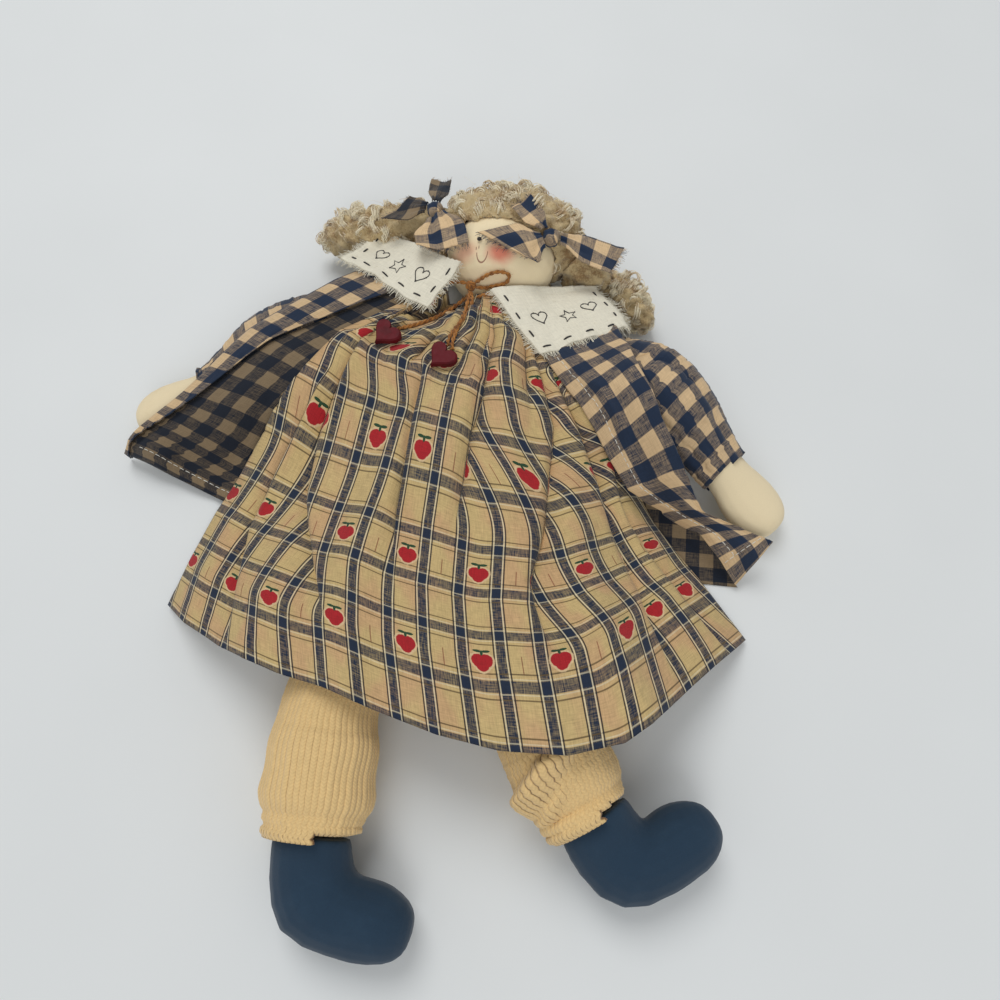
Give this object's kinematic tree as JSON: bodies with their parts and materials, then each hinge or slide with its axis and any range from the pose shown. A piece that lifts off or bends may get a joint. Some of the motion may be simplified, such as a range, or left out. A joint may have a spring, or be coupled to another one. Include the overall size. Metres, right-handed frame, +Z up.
{
  "type": "rag doll",
  "caption": "Stuffed rag doll in a gathered plaid dress and open checked jacket with hinged head, arms, legs and hanging wooden hearts.",
  "frame": {"origin": "On the underside of the jacket's back, under the middle of the doll's back, where the doll lies on the table.", "axes": "The doll lies face up. +Y runs from the feet to the head, +X to the doll's own left arm, +Z up from the table."},
  "size_m": [0.3779, 0.4258, 0.0652],
  "materials": {
    "muslin": "cream stuffed muslin",
    "plaid": "tan plaid cotton with small red fruit",
    "check": "navy and tan checked cotton",
    "osnaburg": "coarse off-white cotton with frayed edges",
    "rib_knit": "cream rib knit",
    "navy_cotton": "plain navy cotton",
    "jute": "rust-brown jute twine",
    "curl": "curly wool",
    "red_wood": "dark red paint on wood",
    "black_thread": "black thread knot"
  },
  "bodies": {
    "torso": {"torso": "muslin", "dress_front": "plaid", "dress_back": "plaid", "jacket_back": "check", "jacket_front_right": "check", "jacket_front_left": "check", "collar_right": "osnaburg", "collar_left": "osnaburg", "neck_twine": "jute", "twine_knot": "jute", "twine_loop": "jute", "twine_tail_right": "jute", "twine_tail_left": "jute"},
    "head": {"head": "muslin", "eye_right": "black_thread", "eye_left": "black_thread", "hair_crown": "curl", "hair_nape": "curl", "hair_right": "curl", "hair_left": "curl", "hair_left_curls": "curl", "bow_right_knot": "check", "bow_right_lower": "check", "bow_right_outer": "check", "bow_right_tip": "check", "bow_left_knot": "check", "bow_left_face": "check", "bow_left_upper": "check", "bow_left_outer": "check"},
    "arm_right": {"arm_right": "muslin", "sleeve_right": "check"},
    "arm_left": {"arm_left": "muslin", "sleeve_left": "check"},
    "leg_right": {"leg_right": "muslin", "stocking_right": "rib_knit", "shoe_right": "navy_cotton"},
    "leg_left": {"leg_left": "muslin", "stocking_left": "rib_knit", "shoe_left": "navy_cotton"},
    "heart_right": {"heart_right": "red_wood"},
    "heart_left": {"heart_left": "red_wood"}
  },
  "joints": [
    {"name": "neck_turn", "type": "hinge", "parent": "torso", "child": "head", "pos_m": [0, 0.081, 0.031], "axis": [0, 1, 0], "range_deg": [-20, 20]},
    {"name": "shoulder_right_swing", "type": "hinge", "parent": "torso", "child": "arm_right", "pos_m": [-0.054, 0.058, 0.02], "axis": [0, 0, 1], "range_deg": [-35, 5]},
    {"name": "shoulder_left_swing", "type": "hinge", "parent": "torso", "child": "arm_left", "pos_m": [0.054, 0.058, 0.02], "axis": [0, 0, 1], "range_deg": [-5, 15]},
    {"name": "hip_right_swing", "type": "hinge", "parent": "torso", "child": "leg_right", "pos_m": [-0.028, -0.05, 0.021], "axis": [0, 0, 1], "range_deg": [-15, 6]},
    {"name": "hip_left_swing", "type": "hinge", "parent": "torso", "child": "leg_left", "pos_m": [0.028, -0.05, 0.021], "axis": [0, 0, 1], "range_deg": [-6, 15]},
    {"name": "heart_right_swing", "type": "hinge", "parent": "torso", "child": "heart_right", "pos_m": [-0.054, 0.053, 0.0395], "axis": [0, 0, 1], "range_deg": [-25, 25]},
    {"name": "heart_left_swing", "type": "hinge", "parent": "torso", "child": "heart_left", "pos_m": [-0.02, 0.038, 0.0464], "axis": [0, 0, 1], "range_deg": [-25, 25]}
  ]
}
